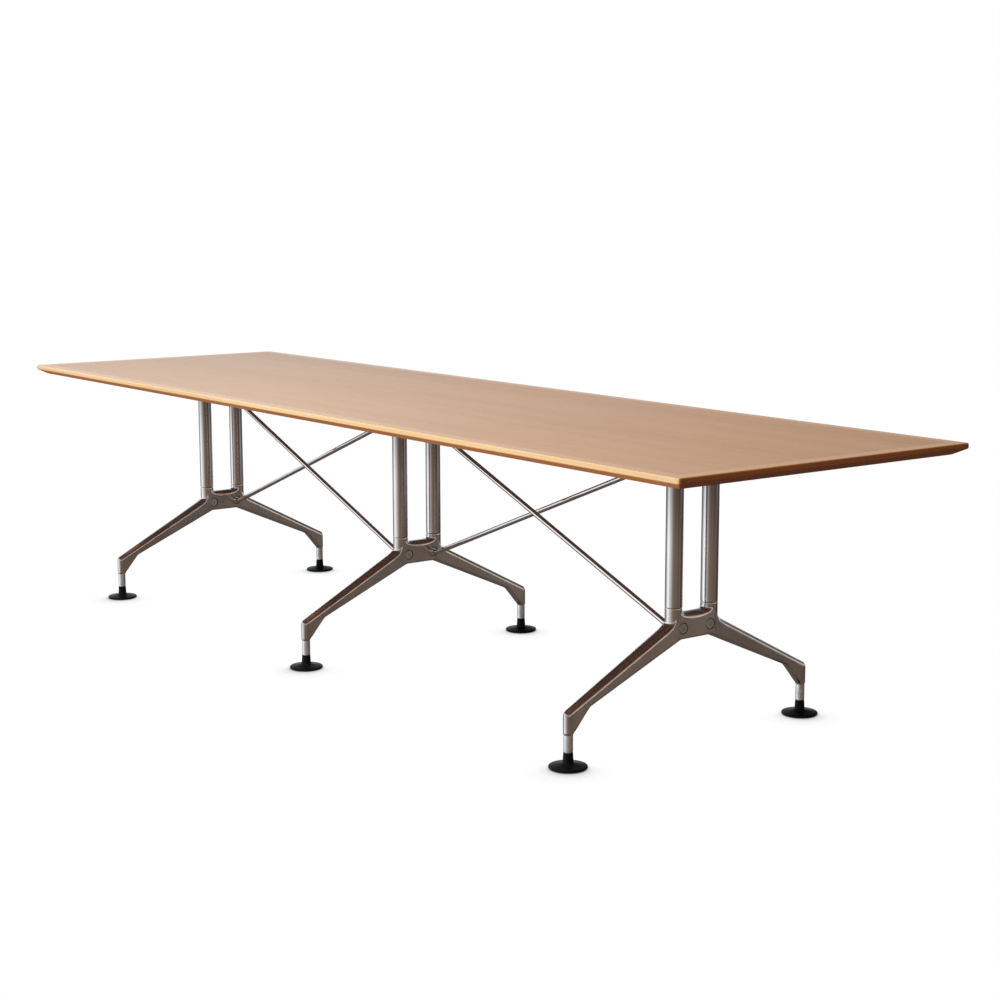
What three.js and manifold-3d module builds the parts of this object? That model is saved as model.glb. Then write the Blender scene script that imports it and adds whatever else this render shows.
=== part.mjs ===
import * as THREE from 'three';
import { mergeVertices } from 'three/addons/utils/BufferGeometryUtils.js';
import Module from 'manifold-3d';

const wasm = await Module();
wasm.setup();

// All sizes are in millimetres. X runs along the table, Z is up, the floor is at Z = 0.

// Whole table
const topLength = 3200;
const topWidth = 900;
const tableHeight = 730;
const endOverhang = 445;

// Table top
const topThickness = 28;
const edgeBand = 13;
const bevelRun = 27;
const lippingMargin = 7;
const edgeEase = 1.5;
const cornerRadius = 4;

// Fits, and how far cutters and joined pieces run past a face
const slideFit = 0.2;
const rimProud = 0.3;
const past = 1;

// Column tubes
const columnSpacing = 114;
const tubeDiameter = 42;
const tubeWall = 2;
const collarTop = 333.5;
const spigotLength = 30;

// Foot casting
const saddleDepth = 30;
const saddlePeakDrop = 15;
const hubDepth = 47.5;
const hubHalfFlat = 46;
const rootFillet = 14;
const rootRise = 30.5;
const armCrown = 13;
const hubEdge = 3;
const armLowerEdge = 6;
const crownFlat = 1.5;
const footHalfSpan = 375;
const footPadHeight = 78;
const armEndHeight = 53;
const armEndThickness = 25;
const kneeInset = 56;
const kneeDepth = 31.5;
const flareCurve = 0.12;
const noseTurn = THREE.MathUtils.degToRad(76);
const rootShares = [0.2, 0.5, 1];

// Brace rods and their sockets
const rodDiameter = 14;
const rodSpacing = 86;
const rodHubDrop = 21;
const rodHeadDrop = 26;
const rodSocketDepth = 14;
const rodEndPlay = 2;
const rodBend = 40;
const rodHubReach = 38;
const rodHeadReach = 99;
const rosetteDiameter = 26;
const rosetteThickness = 3;
const plugDimple = 2;

// Head bracket
const headInset = 120;
const headWidth = 60;
const headPlate = 8;
const ribThickness = 10;
const ribEndInset = 40;
const ribTipDepth = 2.5;
const lugReach = 78;
const lugWidth = 30;
const lugWall = 8;
const headNeck = 6;

// Top screws
const screwDiameter = 6;
const screwHeadDiameter = 14;
const screwHeadHeight = 4;
const screwBite = 18;
const screwInset = 22;
const screwInnerY = 150;
const screwSideOffset = 18;

// Adjustable feet
const sleeveDiameter = 22.5;
const sleeveLength = 40;
const sleeveSpigotDiameter = 17;
const sleeveSpigotLength = 28;
const spindleDiameter = 12;
const spindleTopPlay = 4;
const spindleFlangeDiameter = 19;
const spindleGap = 1.5;
const glideDiameter = 92;
const glideRim = 5;
const glideFloor = 8;
const neckDiameter = 22.8;
const neckStart = 15;

// Facets
const tubeSides = 20;
const socketSides = 12;
const screwSides = 8;
const glideSides = 20;
const bendSteps = 3;
const crownSteps = 3;
const saddleSteps = 5;
const noseSteps = 3;

// Derived places
const undersideHeight = tableHeight - topThickness;
const lippingWidth = bevelRun + lippingMargin;
const tubeRadius = tubeDiameter / 2;
const tubeBore = tubeRadius - tubeWall;
const spigotRadius = tubeBore - slideFit;
const columnY = columnSpacing / 2;
const hubThickness = tubeDiameter - 2 * rimProud;
const hubFace = hubThickness / 2;
const saddleBottom = collarTop - saddleDepth;
const hubBottom = saddleBottom - hubDepth;
const rodHubHeight = saddleBottom - rodHubDrop;
const rodHeadHeight = undersideHeight - rodHeadDrop;
const rodY = rodSpacing / 2;
const rodRadius = rodDiameter / 2;
const lugBottom = rodHeadHeight - rodRadius - lugWall;
const columnTop = lugBottom - headNeck;
const rosetteRadius = rosetteDiameter / 2;
const framePitch = topLength / 2 - endOverhang;
const frameXs = [-framePitch, 0, framePitch];
const headHalfLength = topWidth / 2 - headInset;
const sides = [-1, 1];

// Finishes
const woodFinish = { color: 0xd2a679, roughness: 0.45, metalness: 0 };
const coreFinish = { color: 0xd6ad82, roughness: 0.45, metalness: 0 };
const castFinish = { color: 0xb4aca4, roughness: 0.22, metalness: 1 };
const chromeFinish = { color: 0xc8c8c8, roughness: 0.08, metalness: 1 };
const steelFinish = { color: 0xc2c4c6, roughness: 0.3, metalness: 1 };
const plasticFinish = { color: 0x141414, roughness: 0.5, metalness: 0 };

// Turns a closed geometry into a solid that can be joined and cut.
function toSolid(geometry) {
  const bare = geometry.clone();
  bare.deleteAttribute('normal');
  bare.deleteAttribute('uv');
  const merged = mergeVertices(bare);
  return new wasm.Manifold(new wasm.Mesh({
    numProp: 3,
    vertProperties: new Float32Array(merged.attributes.position.array),
    triVerts: new Uint32Array(merged.index.array),
  }));
}

// Turns a solid back into a geometry.
function toGeometry(solid) {
  const mesh = solid.getMesh();
  const geometry = new THREE.BufferGeometry();
  geometry.setAttribute('position', new THREE.BufferAttribute(mesh.vertProperties, 3));
  geometry.setIndex(new THREE.BufferAttribute(mesh.triVerts, 1));
  return geometry;
}

function addPiece(parent, name, solid, finish) {
  const geometry = toGeometry(solid).toNonIndexed();
  geometry.computeVertexNormals();
  const mesh = new THREE.Mesh(geometry, new THREE.MeshStandardMaterial(finish));
  mesh.name = name;
  parent.add(mesh);
}

// Solid through a row of rings that have equal point counts; the first and last rings are closed.
function loft(rings) {
  const count = rings[0].length;
  const positions = rings.flat().flatMap((point) => point.toArray());
  const faces = [];
  for (let ring = 0; ring + 1 < rings.length; ring += 1) {
    for (let i = 0; i < count; i += 1) {
      const next = (i + 1) % count;
      const a = ring * count + i;
      const b = ring * count + next;
      faces.push(a, b, b + count, a, b + count, a + count);
    }
  }
  const last = (rings.length - 1) * count;
  for (let i = 1; i + 1 < count; i += 1) {
    faces.push(0, i + 1, i);
    faces.push(last, last + i, last + i + 1);
  }
  const geometry = new THREE.BufferGeometry();
  geometry.setAttribute('position', new THREE.Float32BufferAttribute(positions, 3));
  geometry.setIndex(faces);
  return toSolid(geometry);
}

function box(xRange, yRange, zRange) {
  const geometry = new THREE.BoxGeometry(
    xRange[1] - xRange[0],
    yRange[1] - yRange[0],
    zRange[1] - zRange[0],
  );
  geometry.translate(
    (xRange[0] + xRange[1]) / 2,
    (yRange[0] + yRange[1]) / 2,
    (zRange[0] + zRange[1]) / 2,
  );
  return toSolid(geometry);
}

// Turned solid about Z from pairs of radius and height, listed from the lower axis end outward.
function turned(profile, segments) {
  const points = profile.map(([radius, height]) => new THREE.Vector2(radius, height));
  const geometry = new THREE.LatheGeometry(points, segments);
  geometry.rotateX(Math.PI / 2);
  return toSolid(geometry);
}

function upright(radius, zRange, segments) {
  return turned([[0, zRange[0]], [radius, zRange[0]], [radius, zRange[1]], [0, zRange[1]]], segments);
}

// Lays an upright solid along X, so that its upper end points along the given direction.
function layAlongX(solid, direction) {
  return solid.rotate([0, 90 * direction, 0]);
}

// Table top core with blind screw holes from below
function screwPlaces() {
  const outerY = headHalfLength - screwInset;
  return sides.flatMap((side) => [
    [screwSideOffset, side * outerY],
    [-screwSideOffset, side * screwInnerY],
  ]);
}

function topCore() {
  const halfLength = topLength / 2 - lippingWidth;
  const halfWidth = topWidth / 2 - lippingWidth;
  let core = box([-halfLength, halfLength], [-halfWidth, halfWidth], [undersideHeight, tableHeight]);
  const depth = undersideHeight + screwBite + slideFit;
  const hole = upright(screwDiameter / 2 + slideFit, [undersideHeight - past, depth], screwSides);
  for (const frameX of frameXs) {
    for (const [x, y] of screwPlaces()) {
      core = core.subtract(hole.translate([frameX + x, y, 0]));
    }
  }
  return core;
}

// Mitred edge strip of a given length whose outer face lies at Y = -outward
function lipping(length, outward) {
  const bandFoot = tableHeight - edgeBand;
  const section = [
    [0, bandFoot],
    [bevelRun, undersideHeight],
    [lippingWidth, undersideHeight],
    [lippingWidth, tableHeight],
    [edgeEase, tableHeight],
    [0, tableHeight - edgeEase],
  ];
  const rings = sides.map((side) => section.map(([inward, height]) => (
    new THREE.Vector3(side * (length / 2 - inward), inward - outward, height))));
  let strip = loft(rings);
  for (const side of sides) {
    strip = strip.subtract(cornerCutter(side).translate([side * length / 2, -outward, 0]));
  }
  return strip;
}

// Waste removed where the plan corner of the top is rounded; the corner is at the origin
function cornerCutter(side) {
  const shape = new THREE.Shape();
  shape.moveTo(-cornerRadius, -past);
  shape.lineTo(past, -past);
  shape.lineTo(past, cornerRadius);
  shape.lineTo(0, cornerRadius);
  shape.absarc(-cornerRadius, cornerRadius, cornerRadius, 0, -Math.PI / 2, true);
  const depth = topThickness + 2 * past;
  const settings = { depth, bevelEnabled: false, curveSegments: bendSteps };
  const geometry = new THREE.ExtrudeGeometry(shape, settings);
  geometry.translate(0, 0, undersideHeight - past);
  const cutter = toSolid(geometry);
  return side > 0 ? cutter : cutter.mirror([1, 0, 0]);
}

// Foot casting: a row of upright cross-sections from one arm end to the other
function armTop(y) {
  const rootY = columnY + tubeRadius + rootFillet;
  const endTop = footPadHeight + armEndHeight;
  const endY = footHalfSpan + armEndThickness / 2;
  const rootTop = hubBottom + rootRise;
  return rootTop + (endTop - rootTop) * (y - rootY) / (endY - rootY);
}

function armBottom(y) {
  const kneeY = footHalfSpan - kneeInset;
  const kneeZ = armTop(kneeY) - kneeDepth;
  const padY = footHalfSpan - armEndThickness / 2;
  if (y <= hubHalfFlat) return hubBottom;
  if (y <= kneeY) return hubBottom + (kneeZ - hubBottom) * (y - hubHalfFlat) / (kneeY - hubHalfFlat);
  if (y >= padY) return footPadHeight;
  const share = (y - kneeY) / (padY - kneeY);
  return kneeZ + (footPadHeight - kneeZ) * share * (1 - flareCurve + flareCurve * share);
}

function armThickness(y) {
  const share = THREE.MathUtils.clamp((y - columnY) / (footHalfSpan - columnY), 0, 1);
  return hubThickness + (armEndThickness - hubThickness) * share;
}

function armStation(y, top) {
  const width = armThickness(y);
  const lower = y > hubHalfFlat ? armLowerEdge : hubEdge;
  return { y, top, bottom: armBottom(y), width, lower, crown: armCrown };
}

// The saddle between the collars has the same rounded crown as the arms.
function saddleStation(angle) {
  const flank = collarTop - saddleDepth * Math.cos(angle);
  const top = Math.max(collarTop - saddlePeakDrop, flank + hubEdge);
  return { ...armStation(columnY * Math.sin(angle), top), crown: top - flank };
}

function castingStations() {
  const stations = [];
  for (let step = 0; step < saddleSteps; step += 1) {
    stations.push(saddleStation(Math.PI / 2 * step / saddleSteps));
  }
  stations.push({ ...armStation(columnY, collarTop - hubEdge), crown: hubEdge });
  const outerY = columnY + tubeRadius;
  for (const share of rootShares) {
    const y = columnY + tubeRadius * share;
    const lift = (collarTop - hubEdge - armTop(y)) * (1 - share) ** 2;
    stations.push(armStation(y, armTop(y) + lift + hubEdge));
  }
  for (const y of [outerY + rootFillet / 2, outerY + rootFillet]) {
    stations.push(armStation(y, armTop(y)));
  }
  const kneeY = footHalfSpan - kneeInset;
  const padY = footHalfSpan - armEndThickness / 2;
  for (const y of [kneeY, (kneeY + padY) / 2, padY - hubEdge, padY, footHalfSpan]) {
    stations.push(armStation(y, armTop(y)));
  }
  for (let step = 1; step <= noseSteps; step += 1) {
    const angle = noseTurn * step / noseSteps;
    const y = footHalfSpan + armEndThickness / 2 * Math.sin(angle);
    const width = armEndThickness * Math.cos(angle);
    stations.push({ ...armStation(y, armTop(y)), width });
  }
  return stations;
}

function castingRing(station, side) {
  const { y, top, bottom, width, crown } = station;
  const half = width / 2;
  const lower = Math.min(station.lower, half / 2);
  const crownHalf = half - crownFlat / 2;
  const outline = [[half - lower, bottom], [half, bottom + lower]];
  for (let step = 0; step <= crownSteps; step += 1) {
    const angle = Math.PI / 2 * step / crownSteps;
    outline.push([half - crownHalf * (1 - Math.cos(angle)), top - crown * (1 - Math.sin(angle))]);
  }
  const mirrored = outline.map(([x, z]) => [-x, z]).reverse();
  return [...outline, ...mirrored].map(([x, z]) => new THREE.Vector3(x, side * y, z));
}

function footCasting() {
  const half = castingStations();
  const back = half.map((station) => castingRing(station, 1)).reverse();
  const front = half.slice(1).map((station) => castingRing(station, -1));
  let body = loft([...back, ...front]);
  const collarFoot = hubBottom + hubEdge * 2;
  for (const side of sides) {
    const collar = upright(tubeRadius, [collarFoot, collarTop], tubeSides);
    const spigot = upright(spigotRadius, [collarFoot, collarTop + spigotLength], tubeSides);
    body = body.add(collar.add(spigot).translate([0, side * columnY, 0]));
    const boreTop = footPadHeight + sleeveSpigotLength + slideFit;
    const boreRadius = sleeveSpigotDiameter / 2 + slideFit;
    const bore = upright(boreRadius, [footPadHeight - past, boreTop], socketSides);
    body = body.subtract(bore.translate([0, side * footHalfSpan, 0]));
    for (const face of sides) {
      body = body.subtract(hubSocket(face).translate([0, side * rodY, rodHubHeight]));
    }
  }
  return body;
}

// Stepped hole that takes a rod end or a plug, cut in from one face of the hub
function hubSocket(face) {
  const seat = rosetteRadius + slideFit;
  const bore = rodRadius + slideFit;
  const profile = [
    [0, hubFace - rodSocketDepth],
    [bore, hubFace - rodSocketDepth],
    [bore, hubFace - rosetteThickness],
    [seat, hubFace - rosetteThickness],
    [seat, hubFace + past],
    [0, hubFace + past],
  ];
  return layAlongX(turned(profile, socketSides), face);
}

// Plug with a small centre dimple that closes a free socket
function socketPlug(face) {
  const profile = [
    [0, hubFace - rodSocketDepth + rodEndPlay],
    [rodRadius, hubFace - rodSocketDepth + rodEndPlay],
    [rodRadius, hubFace - rosetteThickness],
    [rosetteRadius, hubFace - rosetteThickness],
    [rosetteRadius, hubFace],
    [plugDimple, hubFace],
    [0, hubFace - plugDimple / 2],
  ];
  return layAlongX(turned(profile, socketSides), face);
}

// Column tube, standing on its collar and open at both ends
function columnTube() {
  const outer = upright(tubeRadius, [collarTop, columnTop], tubeSides);
  return outer.subtract(upright(tubeBore, [collarTop - past, columnTop + past], tubeSides));
}

// Head bracket that carries the top on two columns and takes the upper rod ends
const plateBottom = undersideHeight - headPlate;

function headRib(side) {
  const ribTop = undersideHeight - headPlate / 2;
  const tipY = headHalfLength - ribEndInset;
  const outline = [
    [0, columnTop + headPlate],
    [0, ribTop],
    [tipY, ribTop],
    [tipY, plateBottom - ribTipDepth],
  ];
  return loft(sides.map((face) => outline.map(([y, z]) => (
    new THREE.Vector3(-face * side * ribThickness / 2, side * y, z)))));
}

function headCollar() {
  const collar = upright(tubeRadius, [columnTop, plateBottom + past], tubeSides);
  return collar.add(upright(spigotRadius, [columnTop - spigotLength, columnTop + past], tubeSides));
}

// Lug on the front side that reaches along +X, and the hole in its end for a rod
function headLug() {
  return box([0, lugReach], [-rodY - lugWidth / 2, -rodY + lugWidth / 2], [lugBottom, plateBottom + past]);
}

function lugSocket() {
  const reach = [lugReach - rodSocketDepth - rodEndPlay, lugReach + past];
  return layAlongX(upright(rodRadius + slideFit, reach, socketSides), 1).translate([0, -rodY, rodHeadHeight]);
}

function headBracket() {
  const plateHeights = [plateBottom, undersideHeight];
  let body = box([-headWidth / 2, headWidth / 2], [-headHalfLength, headHalfLength], plateHeights);
  for (const side of sides) {
    const turn = [0, 0, side > 0 ? 0 : 180];
    body = body.add(headCollar().translate([0, side * columnY, 0])).add(headRib(side));
    body = body.add(headLug().rotate(turn)).subtract(lugSocket().rotate(turn));
  }
  const holeHeights = [plateBottom - past, undersideHeight + past];
  const hole = upright(screwDiameter / 2 + slideFit, holeHeights, screwSides);
  for (const [x, y] of screwPlaces()) {
    body = body.subtract(hole.translate([x, y, 0]));
  }
  return body;
}

// Pan-head screw through the head bracket into the top core
function topScrew() {
  const radius = screwDiameter / 2;
  const headRadius = screwHeadDiameter / 2;
  return turned([
    [0, plateBottom - screwHeadHeight],
    [headRadius, plateBottom - screwHeadHeight],
    [headRadius, plateBottom],
    [radius, plateBottom],
    [radius, undersideHeight + screwBite],
    [0, undersideHeight + screwBite],
  ], screwSides);
}

// Brace rod with level ends, rising from a hub face on the -X side to a head lug on the +X side
function braceRod() {
  const low = -framePitch / 2 + hubFace - rodSocketDepth + rodEndPlay;
  const high = framePitch / 2 - lugReach + rodSocketDepth;
  const lowBend = new THREE.Vector2(-framePitch / 2 + rodHubReach, rodHubHeight);
  const highBend = new THREE.Vector2(framePitch / 2 - rodHeadReach, rodHeadHeight);
  const climb = highBend.clone().sub(lowBend).angle();
  const tangent = rodBend * Math.tan(climb / 2);
  const stations = [[low, rodHubHeight, 0]];
  for (let step = 0; step <= bendSteps; step += 1) {
    const angle = climb * step / bendSteps;
    const x = lowBend.x - tangent + rodBend * Math.sin(angle);
    stations.push([x, rodHubHeight + rodBend * (1 - Math.cos(angle)), angle]);
  }
  for (let step = bendSteps; step >= 0; step -= 1) {
    const angle = climb * step / bendSteps;
    const x = highBend.x + tangent - rodBend * Math.sin(angle);
    stations.push([x, rodHeadHeight - rodBend * (1 - Math.cos(angle)), angle]);
  }
  stations.push([high, rodHeadHeight, 0]);
  const rings = stations.map(([x, z, angle]) => rodRing(x, z, angle));
  const rosette = upright(rosetteRadius, [hubFace - rosetteThickness, hubFace], socketSides);
  return loft(rings).add(layAlongX(rosette, 1).translate([-framePitch / 2, rodY, rodHubHeight]));
}

function rodRing(x, z, angle) {
  const ring = [];
  for (let i = 0; i < socketSides; i += 1) {
    const turn = 2 * Math.PI * i / socketSides;
    const up = rodRadius * Math.cos(turn);
    const across = -rodRadius * Math.sin(turn);
    ring.push(new THREE.Vector3(x - up * Math.sin(angle), rodY + across, z + up * Math.cos(angle)));
  }
  return ring;
}

// Adjustable foot: fixed sleeve, screw spindle and swivelling glide
const sleeveBottom = footPadHeight - sleeveLength;
const neckTop = sleeveBottom - spindleGap;
const spindleTop = footPadHeight + sleeveSpigotLength - 2 * spindleTopPlay;

function footSleeve() {
  const bore = spindleDiameter / 2 + slideFit;
  return turned([
    [0, spindleTop + spindleTopPlay],
    [bore, spindleTop + spindleTopPlay],
    [bore, sleeveBottom],
    [sleeveDiameter / 2, sleeveBottom],
    [sleeveDiameter / 2, footPadHeight],
    [sleeveSpigotDiameter / 2, footPadHeight],
    [sleeveSpigotDiameter / 2, footPadHeight + sleeveSpigotLength],
    [0, footPadHeight + sleeveSpigotLength],
  ], socketSides);
}

function footSpindle() {
  const radius = spindleDiameter / 2;
  return turned([
    [0, glideFloor],
    [radius, glideFloor],
    [radius, neckTop],
    [spindleFlangeDiameter / 2, neckTop],
    [spindleFlangeDiameter / 2, sleeveBottom - slideFit],
    [radius, sleeveBottom - slideFit],
    [radius, spindleTop],
    [0, spindleTop],
  ], socketSides);
}

function footGlide() {
  const rim = glideDiameter / 2;
  const neck = neckDiameter / 2;
  const bore = spindleDiameter / 2 + slideFit;
  return turned([
    [0, 0],
    [rim - glideRim / 2, 0],
    [rim, glideRim / 2],
    [rim - glideRim / 4, glideRim],
    [(rim + neck) / 2, (2 * glideRim + neckStart) / 3],
    [neck + glideRim / 2, neckStart - glideRim],
    [neck, neckStart],
    [neck, neckTop],
    [bore, neckTop],
    [bore, glideFloor],
    [0, glideFloor],
  ], glideSides);
}

// Assembly
const table = new THREE.Group();
table.name = 'conference_table';

function addTop() {
  const group = new THREE.Group();
  group.name = 'table_top';
  addPiece(group, 'top_core', topCore(), coreFinish);
  const long = lipping(topLength, topWidth / 2);
  const short = lipping(topWidth, topLength / 2);
  addPiece(group, 'lipping_front', long, woodFinish);
  addPiece(group, 'lipping_back', long.rotate([0, 0, 180]), woodFinish);
  addPiece(group, 'lipping_right', short.rotate([0, 0, 90]), woodFinish);
  addPiece(group, 'lipping_left', short.rotate([0, 0, -90]), woodFinish);
  table.add(group);
}

const sideNames = new Map([[-1, 'front'], [1, 'back']]);
const faceNames = new Map([[-1, 'left'], [1, 'right']]);

// A rod leaves the right face on the back side and the left face on the front side.
function socketIsFree(frameIndex, face, side) {
  const neighbour = frameIndex + face;
  const carriesRod = neighbour >= 0 && neighbour < frameXs.length && face === side;
  return !carriesRod;
}

function addFrame(frameIndex) {
  const number = frameIndex + 1;
  const group = new THREE.Group();
  group.name = `frame_${number}`;
  group.position.x = frameXs[frameIndex];
  addPiece(group, `foot_casting_${number}`, footCasting(), castFinish);
  addPiece(group, `head_bracket_${number}`, headBracket(), castFinish);
  screwPlaces().forEach(([x, y], index) => {
    addPiece(group, `top_screw_${number}_${index + 1}`, topScrew().translate([x, y, 0]), steelFinish);
  });
  for (const side of sides) {
    const tag = `${number}_${sideNames.get(side)}`;
    addPiece(group, `column_${tag}`, columnTube().translate([0, side * columnY, 0]), chromeFinish);
    const footPlace = [0, side * footHalfSpan, 0];
    addPiece(group, `sleeve_${tag}`, footSleeve().translate(footPlace), steelFinish);
    addPiece(group, `spindle_${tag}`, footSpindle().translate(footPlace), steelFinish);
    addPiece(group, `glide_${tag}`, footGlide().translate(footPlace), plasticFinish);
    for (const face of sides) {
      if (!socketIsFree(frameIndex, face, side)) continue;
      const plug = socketPlug(face).translate([0, side * rodY, rodHubHeight]);
      addPiece(group, `plug_${tag}_${faceNames.get(face)}`, plug, castFinish);
    }
  }
  table.add(group);
}

function addBay(bayIndex) {
  const number = bayIndex + 1;
  const group = new THREE.Group();
  group.name = `bay_${number}`;
  group.position.x = (frameXs[bayIndex] + frameXs[bayIndex + 1]) / 2;
  addPiece(group, `brace_rod_${number}_front`, braceRod().rotate([0, 0, 180]), chromeFinish);
  addPiece(group, `brace_rod_${number}_back`, braceRod(), chromeFinish);
  table.add(group);
}

addTop();
frameXs.forEach((x, index) => addFrame(index));
frameXs.slice(1).forEach((x, index) => addBay(index));

export default table;
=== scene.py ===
import math

import bmesh
import bpy
from bpy.props import FloatProperty, FloatVectorProperty, PointerProperty
from bpy.types import Operator, Panel, PropertyGroup
from mathutils import Matrix, Vector


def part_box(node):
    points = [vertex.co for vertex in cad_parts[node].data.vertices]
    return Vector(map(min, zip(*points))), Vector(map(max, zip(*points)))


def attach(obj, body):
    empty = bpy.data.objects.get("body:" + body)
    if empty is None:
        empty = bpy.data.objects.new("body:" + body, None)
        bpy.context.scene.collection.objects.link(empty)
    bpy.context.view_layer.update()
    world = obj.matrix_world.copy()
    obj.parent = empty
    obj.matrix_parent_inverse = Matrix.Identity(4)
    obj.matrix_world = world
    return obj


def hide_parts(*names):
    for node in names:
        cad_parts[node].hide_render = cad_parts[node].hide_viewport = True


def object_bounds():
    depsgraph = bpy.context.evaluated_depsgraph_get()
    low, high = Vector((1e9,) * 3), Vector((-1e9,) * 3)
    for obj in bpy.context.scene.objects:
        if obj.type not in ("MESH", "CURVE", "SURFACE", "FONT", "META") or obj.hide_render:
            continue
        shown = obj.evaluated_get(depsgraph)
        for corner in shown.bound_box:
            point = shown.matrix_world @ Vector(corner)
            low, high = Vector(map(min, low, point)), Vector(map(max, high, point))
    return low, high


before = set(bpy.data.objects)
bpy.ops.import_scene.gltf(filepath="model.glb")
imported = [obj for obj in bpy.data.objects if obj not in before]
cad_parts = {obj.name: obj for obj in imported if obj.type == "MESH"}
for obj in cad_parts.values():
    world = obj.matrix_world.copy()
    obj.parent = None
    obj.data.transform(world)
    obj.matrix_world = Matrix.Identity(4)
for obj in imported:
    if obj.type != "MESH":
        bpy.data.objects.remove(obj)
cad_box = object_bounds()

bl_info = {
    "name": "Conference Table",
    "version": (1, 0, 0),
    "blender": (4, 5, 0),
    "location": "3D View > Sidebar > Table",
    "description": "Dresses a long wooden table that stands on three cast aluminium frames",
    "category": "Object",
}

FRAMES = (1, 2, 3)
SIDES = {"front": -1, "back": 1}
FACES = {"left": -1, "right": 1}
FEET = [f"{number}_{side}" for number in FRAMES for side in SIDES]
UP = Vector((0, 0, 1))
SIDEWAYS = (0, math.pi / 2, 0)
MERGE = 0.00001


def middle(node):
    low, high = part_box(node)
    return (low + high) / 2


def extent(node):
    low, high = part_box(node)
    return high - low


def size(name, description, default):
    return FloatProperty(name=name, description=description, default=default, unit="LENGTH", precision=4)


def tint(name, description, default):
    return FloatVectorProperty(
        name=name, description=description, default=default, subtype="COLOR", min=0, max=1)


# Sizes and colours


class TopSizes(PropertyGroup):
    """Sizes of the wooden top, in metres"""
    band: size("Edge band", "Upright band above the bevel", 0.013)
    bevel_run: size("Bevel run", "Run of the bevel under the top", 0.027)
    corner_radius: size("Corner radius", "Radius of the top's corners", 0.008)
    arris: size("Upper arris", "Rounding of the upper edge", 0.0040)
    lower_arris: size("Lower arris", "Rounding above and below the bevel", 0.0020)


class FrameSizes(PropertyGroup):
    """Sizes of one cast frame, in metres"""
    tube_wall: size("Tube wall", "Wall of the column tubes", 0.002)
    tube_chamfer: size("Tube chamfer", "Chamfer at the tubes' ends", 0.0006)
    rim_proud: size("Rim", "How far the tubes stand proud of the hub", 0.0003)
    saddle_depth: size("Saddle depth", "Collar seam to the saddle's flank", 0.030)
    saddle_drop: size("Saddle drop", "Collar seam to the saddle's crown", 0.015)
    hub_depth: size("Hub depth", "Saddle's flank to the hub's underside", 0.0475)
    hub_flat: size("Hub flat", "Half width of the hub's flat underside", 0.046)
    root_fillet: size("Root fillet", "Blend between collar and arm", 0.014)
    root_rise: size("Root rise", "Arm's root above the hub's underside", 0.0305)
    crown: size("Crown", "Height of the arms' rounded upper side", 0.013)
    crown_flat: size("Crown flat", "Flat along the top of the crown", 0.0015)
    hub_edge: size("Hub edge", "Rounding of the hub's lower edges", 0.003)
    arm_edge: size("Arm edge", "Rounding of the arms' lower edges", 0.006)
    arm_end: size("Arm end", "Thickness of the arm at the foot", 0.025)
    arm_end_height: size("Arm end height", "Height of the arm's upright end", 0.053)
    knee_inset: size("Knee inset", "Foot's axis to the knee", 0.056)
    knee_depth: size("Knee depth", "Depth of the arm at the knee", 0.0315)
    voxel: size("Skin grain", "Grain of the casting's skin", 0.0011)
    blend: size("Blend radius", "Radius of the casting's blends", 0.0045)
    socket_gap: size("Socket gap", "Joint around plugs and rod ends", 0.0014)


class BraceSizes(PropertyGroup):
    """Sizes of the brace rods and of the plugs in the spare sockets, in metres"""
    rod_radius: size("Rod radius", "Radius of a brace rod", 0.007)
    bend_radius: size("Bend radius", "Radius of a rod's bends", 0.040)
    hub_reach: size("Hub reach", "Hub's middle to the lower bend", 0.038)
    head_reach: size("Head reach", "Head's middle to the upper bend", 0.099)
    rosette_radius: size("Rosette radius", "Radius of end rings and plugs", 0.013)
    rosette_thickness: size("Rosette thickness", "Thickness of end rings and plugs", 0.003)
    chamfer: size("Chamfer", "Chamfer on rods, end rings and plugs", 0.0009)
    dimple_radius: size("Dimple radius", "Radius of the dimple in a plug", 0.0036)
    dimple_depth: size("Dimple depth", "Depth of the dimple in a plug", 0.002)


class HeadSizes(PropertyGroup):
    """Sizes of the brackets under the top and of their screws, in metres"""
    width: size("Width", "Width of the plate", 0.060)
    plate: size("Plate", "Thickness of the plate", 0.008)
    rib: size("Rib", "Thickness of the ribs", 0.010)
    rib_tip: size("Rib tip", "Depth of a rib at its outer end", 0.0025)
    rib_inset: size("Rib inset", "Plate's end to the rib's end", 0.040)
    neck: size("Neck", "How far the spigot runs up into the collar", 0.006)
    spigot: size("Spigot", "Length of the spigot inside the tube", 0.030)
    lug_reach: size("Lug reach", "Head's middle to the lug's end", 0.078)
    lug_width: size("Lug width", "Width of a rod lug", 0.030)
    lug_depth: size("Lug depth", "Height of a rod lug under the plate", 0.033)
    voxel: size("Skin grain", "Grain of the head's skin", 0.0022)
    blend: size("Blend radius", "Radius of the blends on the head", 0.004)
    screw_radius: size("Screw radius", "Radius of a screw's shank", 0.003)
    screw_head: size("Screw head", "Radius of a screw's head", 0.007)
    screw_head_height: size("Screw head height", "Height of a screw's head", 0.004)
    recess: size("Recess", "Length of a screw's cross recess", 0.0064)


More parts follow.
